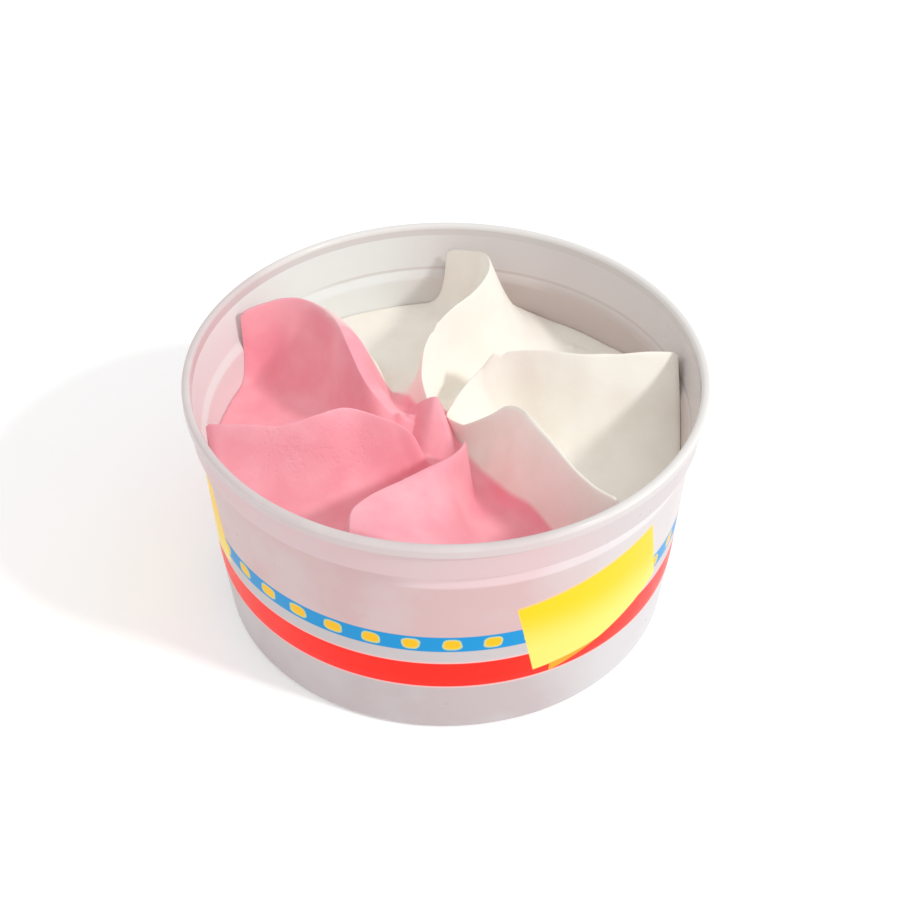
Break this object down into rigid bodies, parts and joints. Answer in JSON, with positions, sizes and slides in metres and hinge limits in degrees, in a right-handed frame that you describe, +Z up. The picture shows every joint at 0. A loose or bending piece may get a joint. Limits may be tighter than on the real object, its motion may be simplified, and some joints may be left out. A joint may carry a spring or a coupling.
{
  "type": "gelato cup",
  "caption": "Open plastic cup of strawberry and vanilla gelato side by side, piped in a bladed swirl.",
  "frame": {"origin": "centre of the cup's base, on the surface it stands on", "axes": "+Z up along the cup's axis, +X to the viewer's right, -Y towards the viewer of the printed front"},
  "size_m": [0.095, 0.095, 0.0496],
  "materials": {
    "cup": "satin translucent white polypropylene, printed with plain bands of colour",
    "strawberry_gelato": "smooth matte gelato",
    "vanilla_gelato": "smooth matte gelato"
  },
  "bodies": {
    "root": {"cup": "cup", "strawberry_gelato": "strawberry_gelato", "vanilla_gelato": "vanilla_gelato"}
  },
  "joints": []
}
